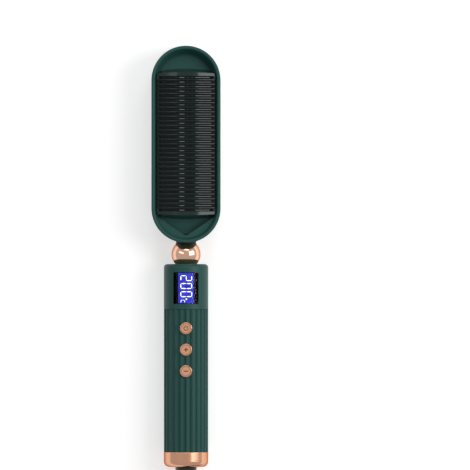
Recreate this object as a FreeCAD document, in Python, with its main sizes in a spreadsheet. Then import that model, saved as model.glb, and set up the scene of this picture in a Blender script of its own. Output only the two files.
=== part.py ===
import FreeCAD, Part
import Sketcher
import math
import os
import re
from FreeCAD import Placement, Rotation, Vector

# Heated hair-straightening brush, lying on its back: +Z is the comb side, +Y the head's tip,
# z = 0 the surface that it lies on. Millimetres. The handle's own pieces are drawn round
# their axis and lifted by handle_axis; the head's are drawn round the middle of the head.

SIZES = {
    # lengths along the brush; the handle's shoulder lies shoulder_drop below the origin
    "shoulder_drop": 1.95,
    "neck_length": 14.8,
    "handle_axis": 15.5,
    "handle_radius": 15.5,
    "collar_length": 31.4,
    "grip_length": 99.9,
    "ring_length": 10.4,
    "swivel_length": 6.7,
    # head shell: a capsule-shaped tray, open to the front and to the back
    "head_width": 48.2,
    "head_length": 137.5,
    "rim_height": 31.0,
    "lip_width": 2.1,
    "lip_round": 0.9,
    "back_edge": 0.6,
    "back_round": 1.5,
    "tray_slope": 3.6,
    "tray_floor": 21.0,
    "floor_thickness": 2.0,
    "scoop_round": 3.0,
    "cavity_wall": 3.5,
    "ledge_height": 3.3,
    "chin_height": 27.2,
    "chin_wall": 4.6,
    "chin_rise": 12.9,
    "chin_spread": 18.8,
    "chin_round": 3.0,
    # back of the head
    "back_inset": 1.95,
    "trim_width": 3.7,
    "trim_depth": 2.2,
    "trim_bevel": 0.5,
    "seam_gap": 0.15,
    "panel_gap": 0.3,
    "panel_dish": 0.9,
    "panel_rim": 0.5,
    "ridge_count": 6,
    "ridge_start": 4.8,
    "ridge_pitch": 2.22,
    "ridge_depth": 0.55,
    "peg_radius": 1.6,
    "peg_spread": 16.0,
    "peg_reach": 8.0,
    "peg_inset": 11.0,
    # comb guard: fins that keep the hot comb off the scalp
    "fin_count": 29,
    "fin_pitch": 3.19,
    "fin_thickness": 1.15,
    "fin_round": 0.42,
    "comb_width": 41.0,
    "comb_shift": 0.3,
    "fin_foot": 20.0,
    "fin_shoulder": 29.6,
    "fin_crown": 36.0,
    "opening_width": 42.4,
    "opening_round": 0.6,
    "rail_width": 1.3,
    "rail_height": 21.8,
    "end_wall": 0.5,
    "end_bulge": 1.9,
    "end_draft": 10.0,
    "tray_play": 0.15,
    # hot comb and what heats it
    "plate_thickness": 2.6,
    "plate_width": 38.6,
    "plate_tab": 5.0,
    "hot_fin": 1.15,
    "hot_fin_inset": 1.6,
    "hot_shoulder": 26.2,
    "hump_height": 32.0,
    "hump_spread": 5.7,
    "saddle_height": 29.8,
    "element_width": 18.0,
    "element_length": 78.0,
    "element_thickness": 2.2,
    "pad_thickness": 0.8,
    "clamp_thickness": 1.4,
    "clamp_tab": 7.0,
    "sensor_radius": 1.3,
    "sensor_length": 5.0,
    "cutoff_radius": 1.9,
    "cutoff_length": 11.0,
    "sensor_spread": 13.4,
    # screws
    "screw_radius": 1.0,
    "screw_head": 1.9,
    "screw_head_height": 1.3,
    "screw_play": 0.1,
    # neck
    "ball_radius": 10.1,
    "ball_centre": 6.8,
    "seal_radius": 7.35,
    "seal_proud": 0.85,
    "seal_seat": 1.2,
    "seal_waist": 0.5,
    "tube_radius": 3.2,
    "tube_bore": 2.5,
    "tube_reach": 5.6,
    "boss_radius": 5.4,
    "nut_radius": 4.9,
    "nut_height": 3.0,
    # handle shells
    "shoulder_round": 2.5,
    "shoulder_wall": 2.5,
    "collar_wall": 1.9,
    "grip_wall": 2.5,
    "crest_drop": 0.1,
    "flute_count": 24,
    "flute_depth": 0.75,
    "flute_radius": 3.1,
    "collar_spigot": 2.4,
    "ring_spigot": 6.0,
    "spigot_wall": 1.5,
    "spigot_play": 0.08,
    "screw_post": 2.7,
    "post_spread": 8.2,
    "post_height": 7.8,
    "post_seat": 6.6,
    "ring_bevel": 0.5,
    "ring_round": 3.8,
    "ring_wall": 2.0,
    # display
    "window_width": 17.5,
    "window_length": 22.2,
    "window_top": 5.7,
    "window_round": 0.7,
    "lens_play": 0.06,
    "lens_recess": 0.15,
    "mask_thickness": 0.3,
    "mask_margin": 0.7,
    "strip_width": 10.7,
    "lcd_width": 11.6,
    "lcd_length": 22.6,
    "lcd_top": 11.8,
    "lcd_thickness": 1.5,
    "backlight_thickness": 1.8,
    "holder_wall": 1.2,
    "holder_drop": 1.2,
    # circuit board; its heights are above the handle's axis
    "board_top": 5.0,
    "board_thickness": 1.6,
    "board_width": 21.0,
    "board_start": 7.0,
    "board_length": 117.0,
    "standoff_radius": 2.3,
    "standoff_first": 27.5,
    "standoff_pitch": 76.0,
    # buttons
    "button_first": 44.8,
    "button_pitch": 14.95,
    "button_radius": 4.15,
    "button_play": 0.12,
    "button_proud": 0.75,
    "button_rim": 0.85,
    "button_dish": 0.4,
    "button_travel": 0.5,
    "flange_radius": 5.0,
    "flange_thickness": 1.4,
    "flange_top": 11.7,
    "switch_side": 6.0,
    "switch_height": 3.4,
    "plunger_radius": 1.7,
    "plunger_play": 0.06,
    "plunger_depth": 1.0,
    # swivel that the mains lead turns in
    "swivel_base": 7.55,
    "swivel_tip": 6.4,
    "spindle_radius": 5.4,
    "spindle_bore": 3.6,
    "spindle_length": 6.0,
    "swivel_play": 0.08,
    "face_gap": 0.3,
    "contact_radius": 5.0,
    "contact_length": 3.0,
    "clip_thickness": 1.2,
    "clip_radius": 7.6,
    # mains lead
    "cord_radius": 3.0,
    "boot_core": 3.5,
    "boot_lobe": 4.9,
    "boot_tip": 4.2,
    "boot_pitch": 7.4,
    "boot_lobe_length": 5.6,
    "lead_radius": 0.9,
    "harness_radius": 1.7,
    "coil_radius": 36.0,
    "coil_width": 27.5,
    "coil_height": 12.6,
    "tie_width": 7.0,
    "tie_thickness": 0.6,
    "plug_width": 35.3,
    "plug_thickness": 13.7,
    "plug_length": 20.0,
    "plug_tail": 9.0,
    "pin_radius": 2.0,
    "pin_length": 19.0,
    "pin_spacing": 19.0,
    "pin_root": 8.0,
    "pin_root_radius": 1.6,
}

# Places worked out from the sizes. Y of the main sections, front to back along the brush
SHOULDER = "(-shoulder_drop)"
HEAD_BOTTOM = "(neck_length - shoulder_drop)"
HEAD_MIDDLE = f"({HEAD_BOTTOM} + head_length / 2)"
COLLAR_END = f"({SHOULDER} - collar_length)"
GRIP_END = f"({COLLAR_END} - grip_length)"
RING_END = f"({GRIP_END} - ring_length)"
SWIVEL_END = f"({RING_END} - swivel_length)"
# the head, from its middle
HALF_WIDTH = "(head_width / 2)"
END_CENTRE = "(head_length / 2 - head_width / 2)"
RECESS_HALF = f"({HALF_WIDTH} - back_inset + seam_gap)"
TRIM_OUTER = f"({HALF_WIDTH} - back_inset)"
TRIM_INNER = f"({TRIM_OUTER} - trim_width)"
PANEL_HALF = f"({TRIM_INNER} - panel_gap)"
CAVITY_HALF = f"({HALF_WIDTH} - cavity_wall)"
FLOOR_UNDER = "(tray_floor - floor_thickness)"
COMB_HALF = "((fin_count + 1) * fin_pitch / 2)"
GUARD_HALF = f"({COMB_HALF} - fin_thickness / 2 + end_wall)"
COMB_MIDDLE = f"({HEAD_MIDDLE} + comb_shift)"
COMB_SCREW_Y = f"({COMB_HALF} + 0.3 * plate_tab)"
COMB_SCREW_X = "(comb_width / 2 - 8)"
PLATE_UNDER = f"({FLOOR_UNDER} - plate_thickness)"
ELEMENT_UNDER = f"({PLATE_UNDER} - element_thickness)"
CLAMP_TOP = f"({ELEMENT_UNDER} - pad_thickness)"
CLAMP_UNDER = f"({CLAMP_TOP} - clamp_thickness)"
CLAMP_SCREW_Y = "(element_length / 2 + clamp_tab / 2)"
# the handle, from its axis
COLLAR_BORE = "(handle_radius - collar_wall)"
GRIP_BORE = "(handle_radius - grip_wall)"
CREST = "(handle_radius - crest_drop)"
SPIGOT = f"({COLLAR_BORE} - spigot_play)"
WINDOW_MIDDLE = f"({SHOULDER} - window_top - window_length / 2)"
LENS_TOP = "(handle_radius - lens_recess)"
BOARD_UNDER = "(board_top - board_thickness)"
BOARD_MIDDLE = f"({SHOULDER} - board_start - board_length / 2)"
BOARD_END = f"({SHOULDER} - board_start - board_length)"
POST_Y = f"({GRIP_END} - ring_spigot / 2)"
FLANGE_UNDER = "(flange_top - flange_thickness)"
BUTTON_TOP = "(handle_radius + button_proud)"
BUTTONS = ("power_button", "plus_button", "minus_button")

doc = FreeCAD.newDocument("HairStraighteningBrush")
sheet = doc.addObject("Spreadsheet::Sheet", "Sizes")
for row, (alias, size) in enumerate(SIZES.items(), start=1):
    sheet.set(f"A{row}", alias)
    sheet.set(f"B{row}", str(size))
    sheet.setAlias(f"B{row}", alias)
gauge = doc.addObject("App::FeaturePython", "Gauge")
gauge.addProperty("App::PropertyFloat", "reading")
doc.recompute()

WORD = re.compile(r"\b(" + "|".join(SIZES) + r")\b")
nodes = {}


# ---------------------------------------------------------------- helpers


def formula(text):
    """The text with each size's name pointing at its cell."""
    return WORD.sub(r"Sizes.\1", str(text))


def measure(text):
    """The present value of a formula, in millimetres."""
    gauge.setExpression("reading", formula(text))
    gauge.recompute()
    return float(gauge.reading)


def bind(thing, **formulas):
    """Tie properties to the sheet; a double underscore stands for a point."""
    for prop, text in formulas.items():
        thing.setExpression(prop.replace("__", "."), formula(text))


def move(thing, x="0", y="0", z="0"):
    bind(thing, Placement__Base__x=x, Placement__Base__y=y, Placement__Base__z=z)
    return thing


def keep(node, thing):
    """Name a finished piece."""
    thing.Label = node
    nodes[node] = thing
    return thing


def volume(feature):
    doc.recompute()
    return feature.Shape.Volume


def blank_body(name, x="0", y="0", z="0"):
    """A body that is only a step on the way to a piece."""
    return move(doc.addObject("PartDesign::Body", name), x, y, z)


def new_body(name, x="0", y="0", z="0"):
    return keep(name, blank_body(name, x, y, z))


def handle_body(name, y="0"):
    """A body drawn round the handle's axis."""
    return new_body(name, y=y, z="handle_axis")


def datum(body, role):
    return next(item for item in body.Origin.OriginFeatures if item.Role == role)


def new_sketch(body, name, plane, away):
    sketch = body.newObject("Sketcher::SketchObject", name)
    sketch.AttachmentSupport = [(datum(body, plane), "")]
    sketch.MapMode = "FlatFace"
    bind(sketch, AttachmentOffset__Base__z=away)
    return sketch


def pin_down(sketch, geometry, point, x, y):
    """Fix a point of a sketch at a pair of formulas."""
    for kind, text in (("DistanceX", x), ("DistanceY", y)):
        rule = sketch.addConstraint(Sketcher.Constraint(kind, geometry, point, measure(text)))
        label = f"{kind}_{rule}"
        sketch.renameConstraint(rule, label)
        sketch.setExpression(f"Constraints.{label}", formula(text))


def set_radius(sketch, geometry, text):
    rule = sketch.addConstraint(Sketcher.Constraint("Radius", geometry, measure(text)))
    sketch.renameConstraint(rule, f"Radius_{rule}")
    sketch.setExpression(f"Constraints.Radius_{rule}", formula(text))


def outline(body, name, plane, corners, away="0"):
    """A closed sketch: corners (x, y) or, rounded, (x, y, radius); ("by", x, y) bows an edge."""
    sketch = new_sketch(body, name, plane, away)
    draw_loop(sketch, corners)
    return sketch


def draw_loop(sketch, corners):
    points, bows = [], {}
    for corner in corners:
        if corner[0] == "by":
            bows[len(points) - 1] = corner[1:]
        else:
            points.append(corner)
    count = len(points)
    spots = [Vector(measure(p[0]), measure(p[1]), 0) for p in points]
    starts, ends = list(spots), list(spots)
    for i, corner in enumerate(points):
        if len(corner) == 3:
            into = (spots[i] - spots[i - 1]).normalize()
            out = (spots[(i + 1) % count] - spots[i]).normalize()
            half_turn = into.getAngle(out) / 2
            back_off = measure(corner[2]) * math.tan(half_turn)
            ends[i] = spots[i] - into * back_off
            starts[i] = spots[i] + out * back_off
    edges = []
    for i in range(count):
        after = (i + 1) % count
        if i in bows:
            middle = Vector(measure(bows[i][0]), measure(bows[i][1]), 0)
            turn = (middle - starts[i]).cross(ends[after] - middle).z
            if turn > 0:
                arc = Part.Arc(starts[i], middle, ends[after])
                edges.append((sketch.addGeometry(arc), 1, 2))
            else:
                arc = Part.Arc(ends[after], middle, starts[i])
                edges.append((sketch.addGeometry(arc), 2, 1))
            mark = sketch.addGeometry(Part.Point(middle), True)
            sketch.addConstraint(Sketcher.Constraint("PointOnObject", mark, 1, edges[-1][0]))
            pin_down(sketch, mark, 1, *bows[i])
        else:
            edges.append((sketch.addGeometry(Part.LineSegment(starts[i], ends[after])), 1, 2))
    for i, corner in enumerate(points):
        before, tail = edges[i - 1][0], edges[i - 1][2]
        after, head = edges[i][0], edges[i][1]
        if len(corner) == 3:
            round_corner(sketch, corner, spots[i], ends[i], starts[i], before, tail, after, head)
        else:
            sketch.addConstraint(Sketcher.Constraint("Coincident", before, tail, after, head))
            pin_down(sketch, after, head, *corner)


def round_corner(sketch, corner, spot, first, last, before, tail, after, head):
    """A tangent arc between two straight edges whose lines meet at the corner."""
    radius = measure(corner[2])
    into = (spot - first).normalize()
    out = (last - spot).normalize()
    turn = 1 if into.cross(out).z > 0 else -1
    side = Vector(-into.y, into.x, 0) * turn
    centre = first + side * radius
    towards = (spot - centre).normalize()
    middle = centre + towards * radius
    if turn > 0:
        arc = sketch.addGeometry(Part.Arc(first, middle, last))
        near, far = 1, 2
    else:
        arc = sketch.addGeometry(Part.Arc(last, middle, first))
        near, far = 2, 1
    mark = sketch.addGeometry(Part.Point(spot), True)
    sketch.addConstraint(Sketcher.Constraint("Tangent", before, tail, arc, near))
    sketch.addConstraint(Sketcher.Constraint("Tangent", arc, far, after, head))
    set_radius(sketch, arc, corner[2])
    sketch.addConstraint(Sketcher.Constraint("PointOnObject", mark, 1, before))
    sketch.addConstraint(Sketcher.Constraint("PointOnObject", mark, 1, after))
    pin_down(sketch, mark, 1, corner[0], corner[1])


def circles(body, name, plane, spots, radius, away="0"):
    sketch = new_sketch(body, name, plane, away)
    for x, y in spots:
        centre = Vector(measure(x), measure(y), 0)
        ring = sketch.addGeometry(Part.Circle(centre, Vector(0, 0, 1), measure(radius)))
        pin_down(sketch, ring, 3, x, y)
        set_radius(sketch, ring, radius)
    return sketch


def pad(body, sketch, length, back=False, both=False):
    feature = body.newObject("PartDesign::Pad", sketch.Name + "Pad")
    feature.Profile = sketch
    feature.Reversed = back
    if both:
        feature.SideType = "Symmetric"
    bind(feature, Length=length)
    if volume(feature) <= 0:
        raise RuntimeError(f"{feature.Name} added nothing")
    return feature


def pocket(body, sketch, length, back=False, both=False, taper=None):
    before = volume(body.Tip)
    feature = body.newObject("PartDesign::Pocket", sketch.Name + "Pocket")
    feature.Profile = sketch
    feature.Reversed = back
    if both:
        feature.SideType = "Symmetric"
    if taper:
        bind(feature, TaperAngle=taper)
    bind(feature, Length=length)
    if volume(feature) >= before - 1e-6:
        raise RuntimeError(f"{feature.Name} cut nothing")
    return feature


def revolve(body, sketch, angle="360", back=False):
    feature = body.newObject("PartDesign::Revolution", sketch.Name + "Turn")
    feature.Profile = sketch
    feature.ReferenceAxis = (sketch, ["V_Axis"])
    feature.Reversed = back
    bind(feature, Angle=angle)
    if volume(feature) <= 0:
        raise RuntimeError(f"{feature.Name} added nothing")
    return feature


def turned(body, name, section):
    """A ring or plug turned about the body's Y axis from a half-section (radius, y)."""
    return revolve(body, outline(body, name, "XY_Plane", section))


def pattern(body, kind, originals, axis, count, **spread):
    feature = body.newObject(f"PartDesign::{kind}", originals[0].Name + kind)
    feature.Originals = originals
    if kind == "LinearPattern":
        feature.Direction = axis
    else:
        feature.Axis = axis
    bind(feature, Occurrences=count, **spread)
    body.Tip = feature
    doc.recompute()
    return feature


def around_head(body, section):
    """A section carried round the head's capsule: one straight side and one end, then both."""
    sketch = outline(body, body.Name + "Section", "XZ_Plane", section, f"-{END_CENTRE}")
    side = pad(body, sketch, f"2 * {END_CENTRE}")
    end = revolve(body, sketch, "180")
    pattern(body, "PolarPattern", [side, end], (datum(body, "Z_Axis"), [""]), "2", Angle="360")


def fillet(body, radius, wanted):
    """Round the tip's edges that the test picks out."""
    tip = body.Tip
    doc.recompute()
    names = [f"Edge{i}" for i, edge in enumerate(tip.Shape.Edges, start=1) if wanted(edge)]
    if not names:
        raise RuntimeError(f"{body.Name}: no edge to round")
    feature = body.newObject("PartDesign::Fillet", f"{tip.Name}Round")
    feature.Base = (tip, names)
    bind(feature, Radius=radius)
    doc.recompute()
    return feature


def box(name, width, length, height, x, y, z):
    """A block centred on x and y, standing on z."""
    block = doc.addObject("Part::Box", name)
    bind(block, Length=width, Width=length, Height=height)
    return move(block, f"{x} - ({width}) / 2", f"{y} - ({length}) / 2", z)


TURN = {"Z": Rotation(), "Y": Rotation(Vector(1, 0, 0), -90), "X": Rotation(Vector(0, 1, 0), 90)}


def rod(name, radius, length, x, y, z, along="Z"):
    round_bar = doc.addObject("Part::Cylinder", name)
    round_bar.Placement = Placement(Vector(), TURN[along])
    bind(round_bar, Radius=radius, Height=length)
    return move(round_bar, x, y, z)


def fuse(name, *parts):
    union = doc.addObject("Part::MultiFuse", name)
    union.Shapes = list(parts)
    return union


def cut(name, base, *tools):
    trimmed = doc.addObject("Part::Cut", name)
    trimmed.Base = base
    trimmed.Tool = tools[0] if len(tools) == 1 else fuse(name + "Tools", *tools)
    return trimmed


def common(name, first, second):
    shared = doc.addObject("Part::MultiCommon", name)
    shared.Shapes = [first, second]
    return shared


def group(name, *parts):
    """Separate solids of one kind that share a node."""
    bundle = doc.addObject("Part::Compound", name)
    bundle.Links = list(parts)
    return bundle


def screw(name, reach, x, y, z, down=False):
    """A pan-head screw driven towards +Z, or down; z is the seat under its head."""
    head_z, shank_z = (z, f"{z} - ({reach})") if down else (f"{z} - screw_head_height", z)
    head = rod(name + "Head", "screw_head", "screw_head_height", x, y, head_z)
    shank = rod(name + "Shank", "screw_radius", reach, x, y, shank_z)
    return fuse(name, head, shank)


def route(points):
    """Straight runs joined by tangent arcs, each as large as its two runs allow."""
    edges, radii = [], []
    start = points[0]
    for i in range(1, len(points) - 1):
        into, out = points[i] - points[i - 1], points[i + 1] - points[i]
        half_turn = into.getAngle(out) / 2
        back_off = 0.45 * min(into.Length, out.Length)
        radii.append(back_off / math.tan(half_turn))
        first = points[i] - into.normalize() * back_off
        last = points[i] + out.normalize() * back_off
        chord = (first + last) / 2 - points[i]
        sag = radii[-1] / math.cos(half_turn) - radii[-1]
        middle = points[i] + chord.normalize() * sag
        edges.append(Part.LineSegment(start, first).toShape())
        edges.append(Part.Arc(first, middle, last).toShape())
        start = last
    edges.append(Part.LineSegment(start, points[-1]).toShape())
    return Part.Wire(edges), radii


def sweep(wire, radius):
    """A round bar along a route."""
    start = wire.Edges[0].Vertexes[0].Point
    heading = wire.Edges[0].tangentAt(wire.Edges[0].FirstParameter)
    ring = Part.Wire(Part.Circle(start, heading, radius).toShape())
    return wire.makePipeShell([ring], True, False)


def formed(node, shape):
    """A piece whose form follows a free route."""
    feature = doc.addObject("Part::Feature", node)
    feature.Shape = shape
    return keep(node, feature)


# ---------------------------------------------------------------- head


def slot(half_width, half_straight):
    """The corners of a capsule along Y, for outline."""
    return [(half_width, f"-{half_straight}"), (half_width, half_straight),
            ("by", "0", f"{half_straight} + {half_width}"),
            (f"-{half_width}", half_straight), (f"-{half_width}", f"-{half_straight}"),
            ("by", "0", f"-({half_straight} + {half_width})")]


def rounded_box(width, length, middle, radius):
    """The corners of a rectangle on the Y axis, for outline."""
    x, low, high = f"({width}) / 2", f"{middle} - ({length}) / 2", f"{middle} + ({length}) / 2"
    return [(x, low, radius), (x, high, radius), (f"-{x}", high, radius), (f"-{x}", low, radius)]


def mirror_spots(x, y, middle="0"):
    """Four spots, one in each quarter round a middle on the Y axis."""
    return [(f"{sx}({x})", f"{middle} {sy} ({y})") for sx in ("", "-") for sy in ("+", "-")]


def make_head_shell():
    """A deep moulded tray with a rolled lip, a comb opening and a chin above the neck."""
    body = new_body("head_shell", y=HEAD_MIDDLE)
    lip = f"({HALF_WIDTH} - lip_width)"
    around_head(body, [
        ("0", "ledge_height"), (RECESS_HALF, "ledge_height"), (RECESS_HALF, "back_edge"),
        (HALF_WIDTH, "back_edge", "back_round"), (HALF_WIDTH, "rim_height", "lip_round"),
        (lip, "rim_height", "lip_round"), (f"{lip} - tray_slope", "tray_floor", "scoop_round"),
        ("0", "tray_floor")])
    cavity = outline(body, "Cavity", "XY_Plane", slot(CAVITY_HALF, END_CENTRE), "ledge_height - 1")
    pocket(body, cavity, f"{FLOOR_UNDER} - ledge_height + 1", back=True)

    wall_middle = f"({HALF_WIDTH} - lip_width / 2)"
    apex = "(chin_wall - head_length / 2)"
    corner_y = f"({apex} + chin_rise)"
    wall_x = f"sqrt({wall_middle}^2 - ({corner_y} + {END_CENTRE})^2)"
    chin = outline(body, "Chin", "XY_Plane", [
        ("chin_spread", corner_y), ("0", apex, "chin_round"), ("-chin_spread", corner_y),
        (f"-{wall_x}", corner_y), ("by", "0", f"-({END_CENTRE} + {wall_middle})"),
        (wall_x, corner_y)], "tray_floor - 0.5")
    pad(body, chin, "chin_height - tray_floor + 0.5")

    length = f"2 * {COMB_HALF} - fin_thickness"
    opening = outline(body, "Opening", "XY_Plane",
                      rounded_box("opening_width", length, "comb_shift", "opening_round"),
                      "rim_height + 1")
    pocket(body, opening, f"rim_height + 1 - {FLOOR_UNDER}")

    inside = "-2"
    boss = circles(body, "NeckBoss", "XZ_Plane", [("0", "handle_axis")], "boss_radius",
                   f"head_length / 2 {inside}")
    pad(body, boss, f"tube_reach {inside}", back=True)
    seat = circles(body, "SealSeat", "XZ_Plane", [("0", "handle_axis")], "seal_radius + seam_gap / 2",
                   "head_length / 2 + 1")
    pocket(body, seat, "seal_seat + 1")
    bore = circles(body, "NeckBore", "XZ_Plane", [("0", "handle_axis")], "tube_radius + screw_play / 2",
                   "head_length / 2 + 1")
    pocket(body, bore, "tube_reach + 2")

    peg_y = "head_length / 2 - peg_inset"
    sockets = circles(body, "Sockets", "XY_Plane", mirror_spots("peg_spread / 2", peg_y),
                      "peg_radius + 1.3", "ledge_height + 2")
    pad(body, sockets, f"{FLOOR_UNDER} - ledge_height - 1.5")
    holes = circles(body, "SocketHoles", "XY_Plane", mirror_spots("peg_spread / 2", peg_y),
                    "peg_radius + screw_play / 2", "ledge_height + 1")
    pocket(body, holes, "peg_reach", back=True)
    screws = circles(body, "ScrewHoles", "XY_Plane",
                     mirror_spots(COMB_SCREW_X, COMB_SCREW_Y, "comb_shift"),
                     "screw_radius + 2 * screw_play", f"{FLOOR_UNDER} - 1")
    pocket(body, screws, "floor_thickness + 1.5", back=True)


def make_trim_ring():
    """A plated capsule ring pressed into the back of the shell."""
    body = new_body("trim_ring", y=HEAD_MIDDLE)
    around_head(body, [
        (TRIM_INNER, "0", "trim_bevel"), (TRIM_OUTER, "0", "trim_bevel"),
        (TRIM_OUTER, "trim_depth"), (TRIM_INNER, "trim_depth")])


def make_back_cover():
    """The ribbed panel: capsule ridges one inside the other, and four pegs."""
    body = new_body("back_cover", y=HEAD_MIDDLE)
    valley = "panel_dish"
    crest = "(panel_dish - ridge_depth)"
    section = [("0", "ledge_height"), ("0", valley)]
    for ridge in range(SIZES["ridge_count"]):
        middle = f"(ridge_start + {ridge} * ridge_pitch)"
        section += [(f"{middle} - 0.34 * ridge_pitch", valley),
                    (f"{middle} - 0.12 * ridge_pitch", crest),
                    (f"{middle} + 0.12 * ridge_pitch", crest),
                    (f"{middle} + 0.34 * ridge_pitch", valley)]
    section += [(PANEL_HALF, "panel_rim"), (PANEL_HALF, "trim_depth"),
                (TRIM_OUTER, "trim_depth"), (TRIM_OUTER, "ledge_height")]
    around_head(body, section)
    spots = mirror_spots("peg_spread / 2", "head_length / 2 - peg_inset")
    pegs = circles(body, "Pegs", "XY_Plane", spots, "peg_radius", "ledge_height - 0.3")
    pad(body, pegs, "peg_reach")


def bar_profile(width, foot, shoulder, crown):
    """The arched outline of a guard fin, seen along the brush."""
    return [(f"-{width} / 2", foot), (f"{width} / 2", foot), (f"{width} / 2", shoulder),
            ("by", "0", crown), (f"-{width} / 2", shoulder)]


def top_edges(shape, foot):
    """Names of the edges that bound a thin bar's two faces above its foot."""
    names = []
    for i, edge in enumerate(shape.Edges, start=1):
        box_of = edge.BoundBox
        if box_of.YLength < 1e-6 and box_of.ZMax > foot + 0.1:
            names.append(f"Edge{i}")
    return names


def bevel(body, size, names):
    tip = body.Tip
    feature = body.newObject("PartDesign::Chamfer", f"{tip.Name}Bevel")
    feature.Base = (tip, names)
    bind(feature, Size=size)
    doc.recompute()
    return feature


def repeat_fin(body, count):
    """The single fin, copied along the comb."""
    feature = body.newObject("PartDesign::LinearPattern", "Fins")
    feature.TransformMode = "Whole shape"
    feature.Direction = (datum(body, "Y_Axis"), [""])
    feature.Reversed = True
    bind(feature, Occurrences=count, Length=f"({count} - 1) * fin_pitch")
    body.Tip = feature
    doc.recompute()
    return feature


def make_comb_guard():
    """Arched fins on two side rails, closed by a bowed, drafted wall at each end."""
    body = blank_body("GuardBlank", y=COMB_MIDDLE)
    body.AllowCompound = True
    first = "((fin_count - 1) / 2 * fin_pitch + fin_thickness / 2)"
    fin = outline(body, "Fin", "XZ_Plane",
                  bar_profile("comb_width", "fin_foot", "fin_shoulder", "fin_crown"), f"-{first}")
    bar = pad(body, fin, "fin_thickness")
    bevel(body, "fin_round", top_edges(bar.Shape, measure("fin_foot")))
    repeat_fin(body, "fin_count")

    rail_in, rail_out = "(comb_width / 2 - rail_width)", "(comb_width / 2)"
    for side, sign in (("Right", ""), ("Left", "-")):
        corners = [(f"{sign}{rail_in}", FLOOR_UNDER), (f"{sign}{rail_out}", FLOOR_UNDER),
                   (f"{sign}{rail_out}", "rail_height"), (f"{sign}{rail_in}", "rail_height")]
        rail = outline(body, f"{side}Rail", "XZ_Plane", corners)
        pad(body, rail, f"2 * ({COMB_HALF} - fin_thickness / 2)", both=True)

    inner = f"({COMB_HALF} - fin_thickness / 2)"
    last, past = "((fin_count - 1) / 2 * fin_pitch)", f"({inner} + rail_width / 4)"
    posts = new_sketch(body, "CornerPosts", "XY_Plane", "tray_floor")
    for sx in ("", "-"):
        for sy in ("", "-"):
            draw_loop(posts, [(f"{sx}{rail_in}", f"{sy}{last}"), (f"{sx}{rail_out}", f"{sy}{last}"),
                              (f"{sx}{rail_out}", f"{sy}{past}"), (f"{sx}{rail_in}", f"{sy}{past}")])
    pad(body, posts, "fin_shoulder - tray_floor")
    reach = "(end_wall + end_bulge + (fin_crown - tray_floor) * tan(end_draft) + 3)"
    for side, sign in (("Top", ""), ("Bottom", "-")):
        away = f"-({inner} + {reach})" if side == "Top" else inner
        profile = bar_profile("comb_width", "tray_floor", "fin_shoulder", "fin_crown")
        wall = outline(body, f"{side}Wall", "XZ_Plane", profile, away)
        pad(body, wall, reach)
        edge_y = f"{sign}{GUARD_HALF}"
        far_y = f"{sign}({GUARD_HALF} + 2 * {reach})"
        trim = outline(body, f"{side}Trim", "XY_Plane", [
            ("comb_width", edge_y), ("comb_width", far_y), ("-comb_width", far_y),
            ("-comb_width", edge_y), ("-comb_width / 2", edge_y),
            ("by", "0", f"{sign}({GUARD_HALF} + end_bulge)"), ("comb_width / 2", edge_y)],
            "fin_crown + 1")
        pocket(body, trim, "fin_crown + 2 - tray_floor", taper="-end_draft")
    spots = mirror_spots(COMB_SCREW_X, COMB_SCREW_Y)
    pilots = circles(body, "Pilots", "XY_Plane", spots, "screw_radius + screw_play", "tray_floor - 1")
    pocket(body, pilots, "6", back=True)

    plug = blank_body("TrayPlug", y=HEAD_MIDDLE)
    lip = f"({HALF_WIDTH} - lip_width - tray_play)"
    around_head(plug, [
        ("0", "tray_floor"), (f"{lip} - tray_slope", "tray_floor", "scoop_round"),
        (lip, "rim_height"), (lip, "fin_crown + 2"), ("0", "fin_crown + 2")])
    ends = [box(f"EndZone{i}", "comb_width + 2", reach, "fin_crown - tray_floor + 1", "0",
                f"{COMB_MIDDLE} {sign} ({inner} + {reach} / 2)", "tray_floor")
            for i, sign in enumerate("+-")]
    walls = cut("TrayWalls", fuse("EndZones", *ends), plug)
    keep("comb_guard", cut("comb_guard", body, walls))


def make_hot_comb():
    """A cast plate with a humped fin in each gap of the guard."""
    body = new_body("hot_comb", y=COMB_MIDDLE)
    body.AllowCompound = True
    half = "(comb_width / 2 - hot_fin_inset)"
    first = "(fin_count / 2 * fin_pitch + hot_fin / 2)"
    fin = outline(body, "HotFin", "XZ_Plane", [
        (f"-{half}", f"{FLOOR_UNDER} - 0.5"), (half, f"{FLOOR_UNDER} - 0.5"),
        (half, "hot_shoulder", "1.0"), ("hump_spread", "hump_height", "4.0"),
        ("0", "saddle_height", "4.0"), ("-hump_spread", "hump_height", "4.0"),
        (f"-{half}", "hot_shoulder", "1.0")], f"-{first}")
    bar = pad(body, fin, "hot_fin")
    bevel(body, "fin_round", top_edges(bar.Shape, measure(FLOOR_UNDER)))
    repeat_fin(body, "(fin_count + 1)")
    length = f"2 * {COMB_HALF} + 2 * plate_tab"
    plate = outline(body, "Plate", "XY_Plane", rounded_box("plate_width", length, "0", "2"),
                    PLATE_UNDER)
    pad(body, plate, "plate_thickness")
    spots = mirror_spots(COMB_SCREW_X, COMB_SCREW_Y)
    holes = circles(body, "TabHoles", "XY_Plane", spots, "screw_radius + 2 * screw_play",
                    f"{PLATE_UNDER} - 1")
    pocket(body, holes, "plate_thickness + 2", back=True)
    spots = [("0", CLAMP_SCREW_Y), ("0", f"-{CLAMP_SCREW_Y}")]
    taps = circles(body, "ClampTaps", "XY_Plane", spots, "screw_radius + screw_play",
                   f"{PLATE_UNDER} - 1")
    pocket(body, taps, "plate_thickness - 0.4 + 1", back=True)


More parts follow.
